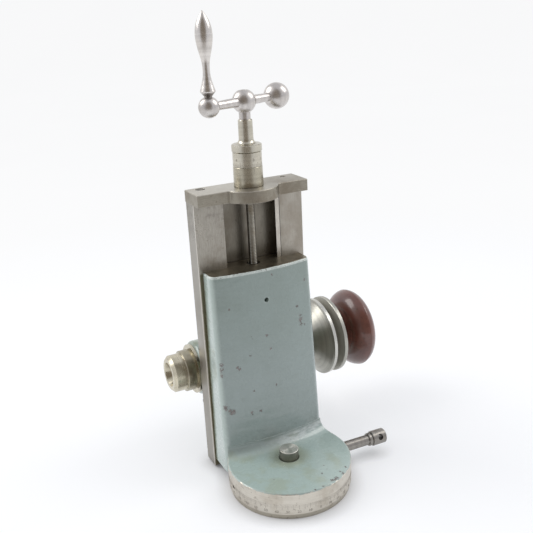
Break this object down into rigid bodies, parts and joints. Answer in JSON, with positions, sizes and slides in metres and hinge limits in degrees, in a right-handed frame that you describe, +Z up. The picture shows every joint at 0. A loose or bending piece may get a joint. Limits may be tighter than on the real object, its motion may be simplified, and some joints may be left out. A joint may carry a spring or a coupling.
{
  "type": "vertical milling slide",
  "caption": "Vertical milling slide on a round swivel foot, with a screw-fed dovetail slide carrying a belt-driven collet spindle.",
  "frame": {"origin": "centre of the round foot's underside, on the pivot stud's axis", "axes": "+Z up along the pivot and the leadscrew, +X along the spindle from the collet nose to the pulley and knob, +Y from the column to the slide and spindle"},
  "size_m": [0.1588, 0.1443, 0.2939],
  "materials": {
    "casting_paint": "grey-green machine enamel, worn and chipped",
    "ground_steel": "ground, dull, stained",
    "turned_steel": "turned bright",
    "dark_steel": "blackened",
    "bronze": "machined",
    "knob_wood": "dark red-brown, polished"
  },
  "bodies": {
    "bracket": {"angle_bracket": "casting_paint", "leadscrew_nut": "bronze", "nut_set_screw": "dark_steel"},
    "pivot": {"pivot_stud": "turned_steel"},
    "clamp_plunger": {"clamp_plunger": "bronze"},
    "clamp_screw": {"clamp_screw": "turned_steel"},
    "slide": {"slide_plate": "ground_steel", "gib_strip": "ground_steel", "gib_screws": "dark_steel", "gib_lock_nuts": "dark_steel", "end_plate": "ground_steel", "end_plate_screw": "turned_steel", "end_plate_dowel": "turned_steel", "bearing_sleeve": "turned_steel", "screw_bush": "bronze", "spindle_housing": "casting_paint", "housing_bolts": "dark_steel", "front_bearing": "bronze", "rear_bearing": "bronze", "housing_oilers": "bronze"},
    "leadscrew": {"leadscrew": "turned_steel", "dial_spring": "dark_steel", "dial_cap": "turned_steel", "cross_pins": "dark_steel", "crank_handle": "turned_steel", "crank_grip": "turned_steel"},
    "dial": {"dial": "turned_steel"},
    "spindle": {"spindle": "turned_steel", "nose_ring": "turned_steel", "preload_nut": "turned_steel", "pulley": "turned_steel", "pulley_key": "dark_steel", "pulley_set_screw": "dark_steel"},
    "draw_tube": {"draw_tube": "turned_steel", "knob_ferrule": "turned_steel", "hand_knob": "knob_wood", "knob_nut": "turned_steel"}
  },
  "joints": [
    {"name": "slide_travel", "type": "slide", "parent": "bracket", "child": "slide", "axis": [0, 0, 1], "range_m": [-0.0015, 0.07]},
    {"name": "screw_turn", "type": "hinge", "parent": "slide", "child": "leadscrew", "pos_m": [0, 0.03785, 0.2], "axis": [0, 0, 1], "range_deg": [-541, 25202]},
    {"name": "dial_set", "type": "hinge", "parent": "leadscrew", "child": "dial", "pos_m": [0, 0.03785, 0.2078], "axis": [0, 0, 1], "continuous": true},
    {"name": "spindle_spin", "type": "hinge", "parent": "slide", "child": "spindle", "pos_m": [0, 0.075, 0.0587], "axis": [1, 0, 0], "continuous": true},
    {"name": "draw_tube_turn", "type": "hinge", "parent": "spindle", "child": "draw_tube", "pos_m": [0, 0.075, 0.0587], "axis": [1, 0, 0], "continuous": true},
    {"name": "foot_swivel", "type": "hinge", "parent": "bracket", "child": "pivot", "pos_m": [0, 0, 0.01], "axis": [0, 0, 1], "continuous": true},
    {"name": "plunger_travel", "type": "slide", "parent": "bracket", "child": "clamp_plunger", "axis": [0.9994, -0.0349, 0], "range_m": [0, 0.0012]},
    {"name": "clamp_turn", "type": "hinge", "parent": "clamp_plunger", "child": "clamp_screw", "pos_m": [0, 0, 0.0122], "axis": [0.9994, -0.0349, 0], "range_deg": [0, 433]}
  ],
  "couplings": [
    {"joint": "screw_turn", "follows": "slide_travel", "rad_per_m": 6283.2},
    {"joint": "clamp_turn", "follows": "plunger_travel", "rad_per_m": 6283.2}
  ]
}
